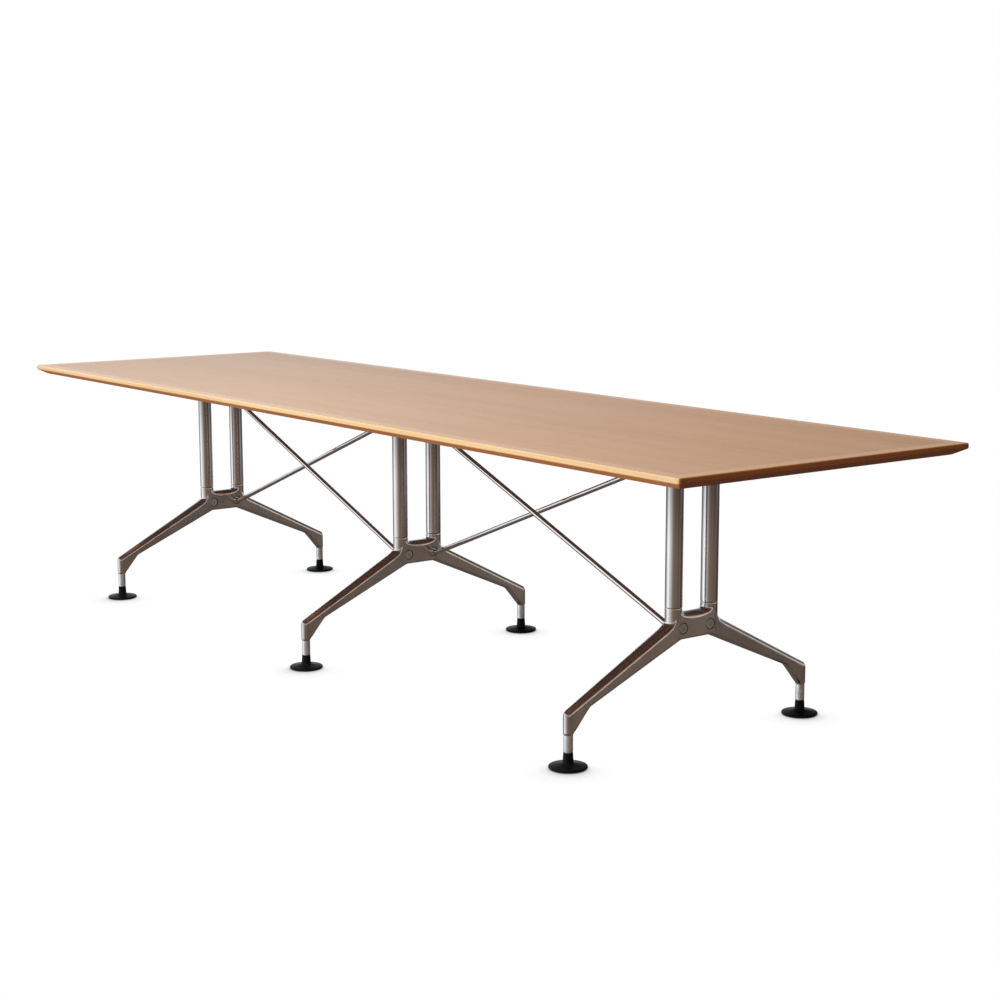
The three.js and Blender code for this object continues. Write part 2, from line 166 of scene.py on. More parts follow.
class FootSizes(PropertyGroup):
    """Sizes of the sleeves, spindles and glides, in metres"""
    sleeve_chamfer: size("Sleeve chamfer", "Chamfer at the sleeve's ends", 0.0007)
    bore: size("Bore", "Radius of the bores in sleeve and glide", 0.0062)
    spigot_radius: size("Spigot radius", "Radius of the sleeve's spigot", 0.0085)
    bore_end: size("Bore end", "Solid end above the sleeve's bore", 0.004)
    thread_pitch: size("Thread pitch", "Ridge to ridge on a spindle", 0.00175)
    thread_depth: size("Thread depth", "Depth of the spindle's thread", 0.0008)
    spindle_radius: size("Spindle radius", "Outer radius of the spindle", 0.006)
    flange_radius: size("Flange radius", "Radius of the spindle's flange", 0.0095)
    flange_height: size("Flange height", "Thickness of the spindle's flange", 0.0013)
    neck_radius: size("Neck radius", "Radius of the glide's neck at its top", 0.0114)
    neck_base: size("Neck base", "Radius of the glide's neck at its foot", 0.0128)
    neck_blend: size("Neck blend", "Radius of the blend between neck and disc", 0.004)
    dome: size("Dome", "Height of the disc at the neck", 0.0115)
    rim_top: size("Rim top", "Height of the disc at its rim", 0.0058)
    floor: size("Floor", "Solid plastic under the spindle", 0.008)
    play: size("Play", "Clearance between spindle and glide", 0.0003)


class TableColours(PropertyGroup):
    """Colours of the table's finishes"""
    veneer_light: tint("Light veneer", "Pale bands of the veneer", (0.65, 0.360, 0.175))
    veneer_dark: tint("Dark veneer", "Darker bands of the veneer", (0.55, 0.280, 0.123))
    # Wood under the top, painted much darker than the veneer: painted shade under the top.
    backing_painted_shade: tint("Backing", "Backing veneer under the top", (0.25, 0.13, 0.10))
    fleck: tint("Fleck", "Small flecks in the wood", (0.33, 0.16, 0.07))
    # Wood of the long edge strips, paler than the wood itself: partly the wood's own colour, partly a
    # painted highlight in place of the edges' gloss.
    edge_light_painted_highlight: tint("Light edge wood", "Pale bands of the edge strips", (0.72, 0.52, 0.28))
    edge_dark_painted_highlight: tint("Dark edge wood", "Darker bands of the edge strips", (0.62, 0.42, 0.20))
    # Bevel tint of the long strips: painted warm bounce light, not a wood of its own.
    bevel: tint("Bevel wood", "Bevel of the long edge strips", (0.88, 0.34, 0.095))
    # End wood of the short edge strips, darker and redder than the long strips: partly end grain, partly
    # painted shade on the ends.
    end_light_painted_shade: tint("Light end wood", "Pale bands of the short edge strips", (0.52, 0.175, 0.048))
    end_dark_painted_shade: tint("Dark end wood", "Darker bands of the short edge strips", (0.32, 0.095, 0.025))
    cast: tint("Cast aluminium", "Polished castings", (0.88, 0.86, 0.84))
    chrome: tint("Chrome", "Column tubes and brace rods", (0.92, 0.92, 0.93))
    steel: tint("Steel", "Sleeves, spindles and screws", (0.86, 0.91, 0.95))
    plastic: tint("Plastic", "Glides", (0.008, 0.008, 0.0085))


# Modelling helpers


def settled(name):
    """Names the active object and applies its transform."""
    piece = bpy.context.active_object
    piece.name = name
    piece.data.name = name
    bpy.ops.object.transform_apply(location=True, rotation=True, scale=True)
    return piece


def begin(name, add, **settings):
    """Adds a primitive as the only selected object and gives it its name."""
    bpy.ops.object.select_all(action="DESELECT")
    add(**settings)
    return settled(name)


def cylinder(name, place, radius, depth, vertices, **settings):
    return begin(name, bpy.ops.mesh.primitive_cylinder_add, location=place, radius=radius, depth=depth,
                 vertices=vertices, **settings)


def make_active(piece):
    bpy.ops.object.select_all(action="DESELECT")
    piece.select_set(True)
    bpy.context.view_layer.objects.active = piece


def edit(piece):
    make_active(piece)
    bpy.ops.object.mode_set(mode="EDIT")


def end_edit():
    bpy.ops.object.mode_set(mode="OBJECT")


def pick(kind, test):
    """Selects the vertices, edges or faces that pass a test in the piece being edited."""
    bpy.ops.mesh.select_mode(type=kind)
    bpy.ops.mesh.select_all(action="DESELECT")
    mesh = bpy.context.edit_object.data
    work = bmesh.from_edit_mesh(mesh)
    parts = {"VERT": work.verts, "EDGE": work.edges, "FACE": work.faces}[kind]
    for part in parts:
        if test(part):
            part.select_set(True)
    work.select_flush_mode()
    bmesh.update_edit_mesh(mesh)


def pick_all():
    bpy.ops.mesh.select_all(action="SELECT")


def level(height):
    """A test for edges that lie at one height."""
    return lambda edge: all(abs(vert.co.z - height) < MERGE for vert in edge.verts)


def tidy_shell():
    """Merges doubles and turns the faces of the piece being edited outwards."""
    pick_all()
    bpy.ops.mesh.remove_doubles(threshold=MERGE)
    bpy.ops.mesh.normals_make_consistent(inside=False)


def apply_modifier(piece, kind, **settings):
    make_active(piece)
    modifier = piece.modifiers.new(kind.title(), kind)
    for key, value in settings.items():
        setattr(modifier, key, value)
    bpy.ops.object.modifier_apply(modifier=modifier.name)


def smooth(piece, degrees, weighted=False):
    make_active(piece)
    bpy.ops.object.shade_smooth_by_angle(angle=math.radians(degrees))
    if weighted:
        apply_modifier(piece, "WEIGHTED_NORMAL", keep_sharp=True)


def joined(pieces):
    """Joins pieces into the first one."""
    make_active(pieces[0])
    for piece in pieces:
        piece.select_set(True)
    bpy.ops.object.join()
    return pieces[0]


def copied(piece, name, offset=(0, 0, 0)):
    make_active(piece)
    bpy.ops.object.duplicate(linked=False)
    bpy.ops.transform.translate(value=offset)
    return settled(name)


def discard(piece):
    make_active(piece)
    bpy.ops.object.delete()


def install(piece, finish, body, slot, *nodes):
    """Gives a piece its finish, its body and the nodes that it stands for; its material slot argument is
    not used.
    """
    piece.data.materials.clear()
    piece.data.materials.append(finish)
    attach(piece, body)
    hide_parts(*nodes)


def set_out(pattern, stem, node_stem, finish):
    """Copies the pattern of a casting to each frame."""
    for number in FRAMES:
        node = f"{node_stem}_{number}"
        piece = copied(pattern, f"{stem}_{number}", (middle(node).x, 0, 0))
        install(piece, finish, "table", "cast_aluminium", node)
    discard(pattern)


def rounded(corners, steps=5):
    """Points of an outline whose corners, each (a, b, radius), are rounded by arcs."""
    points = []
    for i, (a, b, radius) in enumerate(corners):
        here = Vector((a, b))
        if radius == 0 or i in (0, len(corners) - 1):
            points.append(here)
            continue
        back = (Vector(corners[i - 1][:2]) - here).normalized()
        ahead = (Vector(corners[i + 1][:2]) - here).normalized()
        half = back.angle(ahead) / 2
        reach = radius / math.tan(half)
        centre = here + (back + ahead).normalized() * (radius / math.sin(half))
        start = here + back * reach - centre
        sweep = start.angle_signed(here + ahead * reach - centre)
        for step in range(steps + 1):
            points.append(centre + Matrix.Rotation(-sweep * step / steps, 2) @ start)
    return points


def turned(name, profile, steps):
    """Draws a profile of (radius, height) points and spins it about the upright axis."""
    points = [Vector((radius, 0, height)) for radius, height in profile]
    piece = begin(name, bpy.ops.mesh.primitive_plane_add, size=MERGE)
    edit(piece)
    bpy.ops.mesh.select_mode(type="VERT")
    pick_all()
    bpy.ops.mesh.merge(type="CENTER")
    bpy.ops.transform.translate(value=points[0])
    for here, there in zip(points, points[1:]):
        bpy.ops.mesh.extrude_region_move(TRANSFORM_OT_translate={"value": there - here})
    pick_all()
    bpy.ops.mesh.spin(steps=steps, angle=2 * math.pi, center=(0, 0, 0), axis=(0, 0, 1))
    tidy_shell()
    end_edit()
    return piece


def skinned(name, rings):
    """Extrudes a closed ring of points from place to place and closes both ends."""
    piece = begin(name, bpy.ops.mesh.primitive_circle_add, vertices=len(rings[0]), radius=MERGE)
    edit(piece)
    work = bmesh.from_edit_mesh(piece.data)
    order = work.verts.layers.int.new("order")
    work.verts.ensure_lookup_table()
    for i, vert in enumerate(work.verts):
        vert[order] = i
        vert.co = rings[0][i]
    bpy.ops.mesh.select_mode(type="EDGE")
    pick_all()
    bpy.ops.mesh.edge_face_add()
    pick("EDGE", lambda edge: True)
    for ring in rings[1:]:
        bpy.ops.mesh.extrude_edges_move()
        work = bmesh.from_edit_mesh(piece.data)
        order = work.verts.layers.int["order"]
        for vert in work.verts:
            if vert.select:
                vert.co = ring[vert[order]]
        bmesh.update_edit_mesh(piece.data)
    bpy.ops.mesh.edge_face_add()
    tidy_shell()
    end_edit()
    piece.data.attributes.remove(piece.data.attributes["order"])
    return piece


def hoop(place, axis, radius, count):
    """Ring of points round an axis that lies in the XZ plane."""
    across = Vector((0, 1, 0))
    out = across.cross(axis)
    turns = [2 * math.pi * i / count for i in range(count)]
    return [place + radius * (math.cos(turn) * out + math.sin(turn) * across) for turn in turns]


def cast_skin(piece, voxel, blend, polish):
    """Joins overlapping forms into one skin with blended inner corners, as in a casting."""
    apply_modifier(piece, "REMESH", mode="VOXEL", voxel_size=voxel)
    apply_modifier(piece, "DISPLACE", strength=blend, mid_level=0)
    apply_modifier(piece, "REMESH", mode="VOXEL", voxel_size=voxel)
    apply_modifier(piece, "DISPLACE", strength=-blend, mid_level=0)
    apply_modifier(piece, "REMESH", mode="VOXEL", voxel_size=voxel)
    apply_modifier(piece, "SMOOTH", factor=0.5, iterations=polish)


def cut(piece, tool):
    """Cuts a tool out of a piece and discards the tool."""
    apply_modifier(piece, "BOOLEAN", operation="DIFFERENCE", solver="EXACT", object=tool)
    discard(tool)


# Shader helpers


class Signal:
    """A node's output, which Python's operators extend with Math nodes."""

    def __init__(self, tree, socket):
        self.tree = tree
        self.socket = socket

    def math(self, operation, *values, clamp=False):
        settings = {"operation": operation, "use_clamp": clamp}
        return self.tree.node("ShaderNodeMath", settings, dict(enumerate(values)))

    def __add__(self, other):
        return self.math("ADD", self, other)

    def __sub__(self, other):
        return self.math("SUBTRACT", self, other)

    def __rsub__(self, other):
        return self.math("SUBTRACT", other, self)

    def __mul__(self, other):
        return self.math("MULTIPLY", self, other)

    def __truediv__(self, other):
        return self.math("DIVIDE", self, other)

    def ease(self, start, end):
        """From 0 to 1 as the value goes from start to end, with soft ends."""
        settings = {"interpolation_type": "SMOOTHSTEP"}
        return self.tree.node("ShaderNodeMapRange", settings, {0: self, 1: start, 2: end})


class Tree:
    """A node tree, to which one method adds any node."""

    def __init__(self, owner):
        owner.use_nodes = True
        self.owner = owner
        self.nodes = owner.node_tree.nodes
        self.links = owner.node_tree.links
        self.nodes.clear()

    def node(self, kind, settings, inputs, output=0):
        made = self.nodes.new(kind)
        for key, value in settings.items():
            setattr(made, key, value)
        for key, value in inputs.items():
            if isinstance(value, Signal):
                self.links.new(value.socket, made.inputs[key])
            else:
                made.inputs[key].default_value = value
        return Signal(self, made.outputs[output]) if made.outputs else made

    def ramp(self, share, stops):
        """A colour ramp through stops, each (place, colour)."""
        signal = self.node("ShaderNodeValToRGB", {}, {0: share})
        elements = signal.socket.node.color_ramp.elements
        while len(elements) < len(stops):
            elements.new(1)
        for element, (place, colour) in zip(elements, stops):
            element.position = place
            element.color = (*colour, 1)
        return signal

    def axes(self, space="Object"):
        """The X, Y and Z signals of a space's coordinates."""
        place = self.node("ShaderNodeTexCoord", {}, {}, space)
        return [self.node("ShaderNodeSeparateXYZ", {}, {0: place}, axis) for axis in "XYZ"]

    def vector(self, x, y, z):
        return self.node("ShaderNodeCombineXYZ", {}, {0: x, 1: y, 2: z})

    def noise(self, vector, scale=1, detail=2):
        return self.node("ShaderNodeTexNoise", {}, {"Vector": vector, "Scale": scale, "Detail": detail})

    def mix(self, first, second, share):
        first, second = [c if isinstance(c, Signal) else (*c, 1) for c in (first, second)]
        settings = {"data_type": "RGBA"}
        return self.node("ShaderNodeMix", settings, {0: share, 6: first, 7: second}, 2)

    def bump(self, height, strength, distance):
        inputs = {"Strength": strength, "Distance": distance, "Height": height}
        return self.node("ShaderNodeBump", {}, inputs)

    def surface(self, **inputs):
        """Closes the tree with a Principled shader; underscores in input names stand for spaces."""
        named = {key.replace("_", " "): value for key, value in inputs.items()}
        shader = self.node("ShaderNodeBsdfPrincipled", {}, named)
        self.node("ShaderNodeOutputMaterial", {}, {"Surface": shader})
        return self.owner


def new_finish(name):
    return Tree(bpy.data.materials.new(name))


# Finishes


def veneer_finish(colours):
    tree = new_finish("veneer")
    top = cad_box[1].z
    x, y, z = tree.axes()
    leaf_width = 0.18
    leaf = y / leaf_width + 0.5
    leaf = leaf.math("FLOOR", leaf)
    shift = tree.node("ShaderNodeTexWhiteNoise", {"noise_dimensions": "1D"}, {"W": leaf}, "Value")
    run = x + shift * 5
    figure = tree.noise(tree.vector(run * 0.7, y * 22, leaf), detail=4)
    grain = tree.noise(tree.vector(run * 5, y * 260, leaf), detail=3)
    flecks = tree.noise(tree.vector(run * 90, y * 900, leaf), detail=1).ease(0.62, 0.74)
    mottle = tree.noise(tree.vector(run * 34, y * 55, leaf), detail=3)
    blend = figure * 0.5 + grain * 0.3 + mottle * 0.35 + shift * 0.12 - 0.13
    wood = tree.mix(colours.veneer_light, colours.veneer_dark, blend.ease(0.25, 0.8))
    wood = tree.mix(wood, colours.fleck, flecks * 0.22)
    # Below the top face the wood takes the backing colour, which is painted shade under the top.
    upper_half = z.ease(top - 0.02, top - 0.01)
    wood = tree.mix(colours.backing_painted_shade, wood, upper_half)
    roughness = grain * 0.10 + 0.30
    normal = tree.bump(grain - flecks * 0.6, 0.05, 0.0004)
    return tree.surface(Base_Color=wood, Roughness=roughness, Normal=normal, Specular_IOR_Level=1.0)


def edge_finish(name, along, colours, light, dark, bevel, gloss):
    """Solid wood whose grain runs along X or Y, with other tints on its bevel and upper face; on the long
    strips the bevel's tint is painted warm bounce light.
    """
    tree = new_finish(name)
    x, y, z = tree.axes()
    run, across = (x, y) if along == "X" else (y, x)
    figure = tree.noise(tree.vector(run * 1.6, across * 45, z * 70), detail=4)
    grain = tree.noise(tree.vector(run * 9, across * 420, z * 520), detail=2)
    flecks = tree.noise(tree.vector(run * 110, across * 900, z * 900), detail=1).ease(0.6, 0.72)
    blend = figure * 0.8 + grain * 0.35 - 0.08
    figure_share = blend.ease(0.3, 0.75)
    top = cad_box[1].z
    foot = top - bpy.context.scene.table_top.band
    # The bevel's tint: painted warm bounce light on the long strips, the end wood on the short ones.
    under = tree.mix(bevel, bevel * 0.8, figure_share)
    # On the long strips these woods hold a painted highlight, on the short strips painted shade.
    wood = tree.mix(light, dark, figure_share)
    wood = tree.mix(under, wood, z.ease(foot - 0.001, foot + 0.001))
    wood = tree.mix(wood, colours.veneer_light, z.ease(top - 0.0015, top - 0.0003))
    wood = tree.mix(wood, colours.fleck, flecks * 0.3)
    roughness = grain * 0.10 + 0.22
    normal = tree.bump(grain - flecks * 0.6, 0.06, 0.0004)
    return tree.surface(Base_Color=wood, Roughness=roughness, Normal=normal, Specular_IOR_Level=gloss)


def cast_finish(colours):
    tree = new_finish("cast_aluminium")
    x, y, z = tree.axes()
    place = tree.vector(x, y, z)
    cloud = tree.noise(place, scale=14, detail=4)
    polish = tree.noise(tree.vector(x * 300, y * 60, z * 300), detail=2)
    metal = tree.mix(colours.cast * 0.86, colours.cast, cloud.ease(0.3, 0.7))
    # Darker where ambient occlusion finds the surface closed in: painted shade in grooves, seams and
    # sockets.
    open_sky = tree.node("ShaderNodeAmbientOcclusion", {"samples": 8}, {"Distance": 0.004}, "AO")
    metal = tree.mix((0.10, 0.08, 0.07), metal, open_sky.ease(0.35, 0.85))
    roughness = cloud * 0.08 + polish * 0.05 + 0.11
    normal = tree.bump(cloud, 0.03, 0.001)
    return tree.surface(Base_Color=metal, Metallic=1.0, Roughness=roughness, Normal=normal)


def chrome_finish(colours, name, shine, painted_top_shade=0):
    """Polished chrome, darker by a share towards the upper ends of upright pieces, as painted shade under
    the top.
    """
    tree = new_finish(name)
    x, y, z = tree.axes()
    cloud = tree.noise(tree.vector(x * 30, y * 30, z * 6), detail=3)
    metal = tree.mix(colours.chrome * 0.93, colours.chrome, cloud.ease(0.3, 0.7))
    # Painted shade: the colour darkens towards the upper ends, under the top.
    metal = tree.mix(metal, (0.04, 0.036, 0.034), z.ease(0.46, 0.67) * painted_top_shade)
    return tree.surface(Base_Color=metal, Metallic=1.0, Roughness=cloud * 0.05 + shine)


def steel_finish(colours, name):
    tree = new_finish(name)
    x, y, z = tree.axes()
    rings = tree.noise(tree.vector(x * 40, y * 40, z * 2200), detail=1)
    stain = tree.noise(tree.vector(x, y, z), scale=60, detail=3)
    metal = tree.mix(colours.steel * 0.8, colours.steel, stain.ease(0.3, 0.6))
    normal = tree.bump(rings, 0.08, 0.0003)
    return tree.surface(Base_Color=metal, Metallic=0.7, Roughness=rings * 0.1 + 0.16, Normal=normal)


def plastic_finish(colours):
    tree = new_finish("black_plastic")
    x, y, z = tree.axes()
    place = tree.vector(x, y, z)
    grain = tree.noise(place, scale=900, detail=2)
    dust = tree.noise(place, scale=40, detail=4)
    shade = tree.mix(colours.plastic, (0.012, 0.0115, 0.011), dust.ease(0.45, 0.8) * 0.5)
    normal = tree.bump(grain, 0.03, 0.0002)
    roughness = dust * 0.12 + 0.26
    return tree.surface(Base_Color=shade, Roughness=roughness, Normal=normal, Specular_IOR_Level=0.06)


# Table top


def slab(sizes):
    """The whole top as one block with its bevel and rounded edges."""
    low, high = cad_box
    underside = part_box("top_core")[0].z
    span = Vector((high.x - low.x, high.y - low.y, high.z - underside))
    centre = (0, 0, (high.z + underside) / 2)
    piece = begin("slab", bpy.ops.mesh.primitive_cube_add, size=1, location=centre, scale=span)
    edit(piece)
    pick("EDGE", lambda edge: abs(edge.verts[0].co.z - edge.verts[1].co.z) > span.z / 2)
    bpy.ops.mesh.bevel(offset=sizes.corner_radius, segments=5, affect="EDGES")
    band_foot = high.z - sizes.band
    pick_all()
    bpy.ops.mesh.bisect(plane_co=(0, 0, band_foot), plane_no=UP)
    pick("VERT", lambda vert: abs(vert.co.z - underside) < MERGE)
    shrink = (1 - 2 * sizes.bevel_run / span.x, 1 - 2 * sizes.bevel_run / span.y, 1)
    bpy.ops.transform.resize(value=shrink, center_override=(0, 0, underside))
    arrises = {high.z: sizes.arris, band_foot: sizes.lower_arris, underside: sizes.lower_arris}
    for height, radius in arrises.items():
        pick("EDGE", level(height))
        bpy.ops.mesh.bevel(offset=radius, segments=4, affect="EDGES")
    end_edit()
    return piece


def edge_strip(whole, name, outward):
    """One mitred strip cut from the whole top."""
    high = cad_box[1]
    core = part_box("top_core")[1]
    half = Vector((high.x, high.y, 0))
    width = high.x - core.x
    along = Vector((-outward.y, outward.x, 0))
    reach = half.dot(Vector(map(abs, outward)))
    length = half.dot(Vector(map(abs, along)))
    piece = copied(whole, name)
    edit(piece)
    cuts = [(outward * (reach - width), -outward)]
    cuts += [(outward * reach + way * along * length, way * along - outward) for way in (-1, 1)]
    for place, normal in cuts:
        pick_all()
        bpy.ops.mesh.bisect(plane_co=place, plane_no=normal.normalized(), use_fill=True, clear_outer=True)
    tidy_shell()
    end_edit()
    smooth(piece, 35, weighted=True)
    return piece


class TABLE_OT_top(Operator):
    """Makes the edge strips and finishes the veneered panel"""
    bl_idname = "table.top"
    bl_label = "Top"

    def execute(self, context):
        colours = context.scene.table_colours
        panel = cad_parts["top_core"].data
        panel.materials.clear()
        panel.materials.append(veneer_finish(colours))
        # The long strips' wood, paled partly by a painted highlight.
        light, dark = colours.edge_light_painted_highlight, colours.edge_dark_painted_highlight
        long_wood = edge_finish("edge_wood_long", "X", colours, light, dark, colours.bevel, gloss=0.5)
        # The short strips' end wood, darkened partly by painted shade.
        light, dark = colours.end_light_painted_shade, colours.end_dark_painted_shade
        short_wood = edge_finish("edge_wood_short", "Y", colours, light, dark, dark, gloss=0.15)
        whole = slab(context.scene.table_top)
        for name, outward, wood in (
                ("front", Vector((0, -1, 0)), long_wood),
                ("back", Vector((0, 1, 0)), long_wood),
                ("right", Vector((1, 0, 0)), short_wood),
                ("left", Vector((-1, 0, 0)), short_wood)):
            strip = edge_strip(whole, f"edge_{name}", outward)
            install(strip, wood, "table", "edge_wood", f"lipping_{name}")
        discard(whole)
        return {"FINISHED"}


# Column tubes


class TABLE_OT_columns(Operator):
    """Makes the six column tubes"""
    bl_idname = "table.columns"
    bl_label = "Column tubes"

    def execute(self, context):
        sizes = context.scene.table_frame
        # The tubes get painted shade towards their upper ends.
        finish = chrome_finish(context.scene.table_colours, "chrome_tube", 0.07, painted_top_shade=0.42)
        span = extent("column_1_front")
        centre = middle("column_1_front")
        tube = cylinder("tube", centre, span.y / 2, span.z, 72, end_fill_type="NOTHING")
        apply_modifier(tube, "SOLIDIFY", thickness=sizes.tube_wall, offset=-1)
        low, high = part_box("column_1_front")
        edit(tube)
        for height in (low.z, high.z):
            pick("EDGE", level(height))
            bpy.ops.mesh.bevel(offset=sizes.tube_chamfer, segments=2, affect="EDGES")
        tidy_shell()
        end_edit()
        smooth(tube, 40, weighted=True)
        for foot in FEET:
            node = f"column_{foot}"
            piece = copied(tube, f"tube_{foot}", middle(node) - centre)
            install(piece, finish, "table", "chrome_tube", node)
        discard(tube)
        return {"FINISHED"}


# Foot castings


class Casting:
    """Upright cross-sections of one foot casting, from the hub's middle out to the arm's end."""
    pad_share = 0.36
    flare_curve = 0.12

    def __init__(self, sizes):
        self.sizes = sizes
        tube = extent("column_1_front")
        self.tube_radius = tube.y / 2
        self.column_y = middle("column_1_back").y
        self.collar_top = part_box("column_1_front")[0].z
        self.foot_y = middle("glide_1_back").y
        self.thickness = tube.x - 2 * sizes.rim_proud
        self.hub_bottom = self.collar_top - sizes.saddle_depth - sizes.hub_depth
        self.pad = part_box("foot_casting_1")[0].z
        self.knee_y = self.foot_y - sizes.knee_inset
        self.pad_y = self.foot_y - sizes.arm_end * self.pad_share

    def arm_top(self, y):
        root_y = self.column_y + self.tube_radius + self.sizes.root_fillet
        root_top = self.hub_bottom + self.sizes.root_rise
        end_y = self.foot_y + self.sizes.arm_end / 2
        end_top = self.pad + self.sizes.arm_end_height
        return root_top + (end_top - root_top) * (y - root_y) / (end_y - root_y)

    def arm_bottom(self, y):
        knee = self.arm_top(self.knee_y) - self.sizes.knee_depth
        if y <= self.sizes.hub_flat:
            return self.hub_bottom
        if y <= self.knee_y:
            share = (y - self.sizes.hub_flat) / (self.knee_y - self.sizes.hub_flat)
            return self.hub_bottom + (knee - self.hub_bottom) * share
        if y >= self.pad_y:
            return self.pad
        share = (y - self.knee_y) / (self.pad_y - self.knee_y)
        return knee + (self.pad - knee) * share * (1 - self.flare_curve * (1 - share))

    def width(self, y):
        share = (y - self.column_y) / (self.foot_y - self.column_y)
        share = min(max(share, 0), 1)
        return self.thickness + (self.sizes.arm_end - self.thickness) * share

    def edge(self, y):
        """Rounding of the lower edges: small under the hub, a full round above the foot's sleeve."""
        if y <= self.sizes.hub_flat:
            return self.sizes.hub_edge
        share = min(max((y - self.knee_y) / (self.pad_y - self.knee_y), 0), 1)
        return self.sizes.arm_edge + (self.sizes.arm_end / 2 - self.sizes.arm_edge) * share ** 8

    def station(self, y, top, crown=None, width=None):
        return y, top, crown or self.sizes.crown, width or self.width(y), self.edge(y)

    def saddle(self, angle):
        flank = self.collar_top - self.sizes.saddle_depth * math.cos(angle)
        top = max(self.collar_top - self.sizes.saddle_drop, flank + self.sizes.hub_edge)
        return self.station(self.column_y * math.sin(angle), top, top - flank)

    def stations(self):
        sizes = self.sizes
        rows = [self.saddle(math.pi / 2 * step / 14) for step in range(14)]
        under_rim = self.collar_top - sizes.hub_edge
        rows.append(self.station(self.column_y, under_rim, sizes.hub_edge))
        for step in range(1, 9):
            share = step / 8
            y = self.column_y + self.tube_radius * share
            lift = (under_rim - self.arm_top(y)) * (1 - share) ** 2
            rows.append(self.station(y, self.arm_top(y) + lift + sizes.hub_edge * (1 - share / 2)))
        root_end = self.column_y + self.tube_radius + sizes.root_fillet
        flare = [self.knee_y + (self.pad_y - self.knee_y) * step / 8 for step in range(9)]
        for y in (root_end, (root_end + self.knee_y) / 2, *flare, self.foot_y):
            rows.append(self.station(y, self.arm_top(y)))
        for step in range(1, 8):
            turn = math.radians(86) * step / 7
            y = self.foot_y + sizes.arm_end / 2 * math.sin(turn)
            width = sizes.arm_end * math.cos(turn)
            rows.append(self.station(y, self.arm_top(y), min(sizes.crown, width), width))
        return rows

    def ring(self, row, side):
        y, top, crown, width, edge = row
        half = width / 2
        edge = min(edge, half * 0.96)
        bottom = self.arm_bottom(y)
        reach = max(half - self.sizes.crown_flat / 2, half / 2)
        outline = []
        for step in range(6):
            turn = math.pi / 2 * step / 5
            outline.append((half - edge * (1 - math.sin(turn)), bottom + edge * (1 - math.cos(turn))))
        for step in range(13):
            turn = math.pi / 2 * step / 12
            outline.append((half - reach * (1 - math.cos(turn)), top - crown * (1 - math.sin(turn))))
        mirrored = [(-x, z) for x, z in reversed(outline)]
        return [Vector((x, side * y, z)) for x, z in outline + mirrored]


def casting_body(sizes):
    """Arms, hub and collars of one casting, blended into one skin about X = 0."""
    shape = Casting(sizes)
    rows = shape.stations()
    rings = [shape.ring(row, 1) for row in reversed(rows)]
    rings += [shape.ring(row, -1) for row in rows[1:]]
    parts = [skinned("casting", rings)]
    foot = shape.hub_bottom + 2 * sizes.hub_edge
    for side in SIDES.values():
        height = shape.collar_top - foot
        place = (0, side * shape.column_y, foot + height / 2)
        parts.append(cylinder("collar", place, shape.tube_radius, height, 96))
        height = sizes.arm_end_height - sizes.crown
        place = (0, side * shape.foot_y, shape.pad + height / 2)
        parts.append(cylinder("boss", place, sizes.arm_end / 2, height, 64))
    body = joined(parts)
    cast_skin(body, sizes.voxel, sizes.blend, polish=24)
    return body


def hub_face(sizes):
    """From the hub's middle to its flat faces."""
    return extent("column_1_front").x / 2 - sizes.rim_proud


def cut_sockets(body, sizes, brace):
    """Shallow seats for the plugs and the rods' end rings."""
    seat = middle("plug_1_front_left")
    radius = brace.rosette_radius + sizes.socket_gap
    face = hub_face(sizes)
    for side in SIDES.values():
        for way in FACES.values():
            place = (way * face, side * abs(seat.y), seat.z)
            depth = 2 * brace.rosette_thickness
            cut(body, cylinder("socket", place, radius, depth, 64, rotation=SIDEWAYS))


class TABLE_OT_castings(Operator):
    """Makes the three foot castings"""
    bl_idname = "table.castings"
    bl_label = "Foot castings"

    def execute(self, context):
        sizes = context.scene.table_frame
        finish = cast_finish(context.scene.table_colours)
        body = casting_body(sizes)
        cut_sockets(body, sizes, context.scene.table_brace)
        smooth(body, 40)
        set_out(body, "casting", "foot_casting", finish)
        return {"FINISHED"}


# Brace rods and plugs


def bar(name, stations, count):
    """A round bar through stations, each (place, axis, radius)."""
    return skinned(name, [hoop(place, axis, radius, count) for place, axis, radius in stations])


def rod_stations(sizes, hub, node, bay, way):
    """A rod from its socket in a hub, where it wears an end ring, up to its lug on the next head."""
    low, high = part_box(node)
    left, right = (middle(f"column_{number}_front").x for number in (bay, bay + 1))
    centre = (left + right) / 2
    half_pitch = (right - left) / 2
    y = (low.y + high.y) / 2
    lower = low.z + sizes.rosette_radius
    upper = high.z - sizes.rod_radius
    starts = sorted((way * (low.x - centre), way * (high.x - centre)))
    face = hub - half_pitch
    corners = [
        (starts[0], lower, 0),
        (sizes.hub_reach - half_pitch, lower, sizes.bend_radius),
        (half_pitch - sizes.head_reach, upper, sizes.bend_radius),
        (starts[1], upper, 0),
    ]
    path = rounded(corners, steps=10)
    rod, ring, chamfer = sizes.rod_radius, sizes.rosette_radius, sizes.chamfer
    seat = face - sizes.rosette_thickness
    level_part = [
        (starts[0], rod - chamfer), (starts[0] + chamfer, rod), (seat, rod), (seat, ring - chamfer),
        (seat + chamfer, ring), (face - chamfer, ring), (face, ring - chamfer), (face, rod)]
    ahead = Vector((1, 0))
    rows = [(Vector((x, lower)), ahead, radius) for x, radius in level_part]
    for i, point in enumerate(path[1:-1], start=1):
        rows.append((point, (path[i + 1] - path[i - 1]).normalized(), rod))
    rows.append((path[-1] - ahead * chamfer, ahead, rod))
    rows.append((path[-1], ahead, rod - chamfer))
    return [(Vector((centre + way * point.x, y, point.y)), Vector((way * axis.x, 0, axis.y)), radius)
            for point, axis, radius in rows]


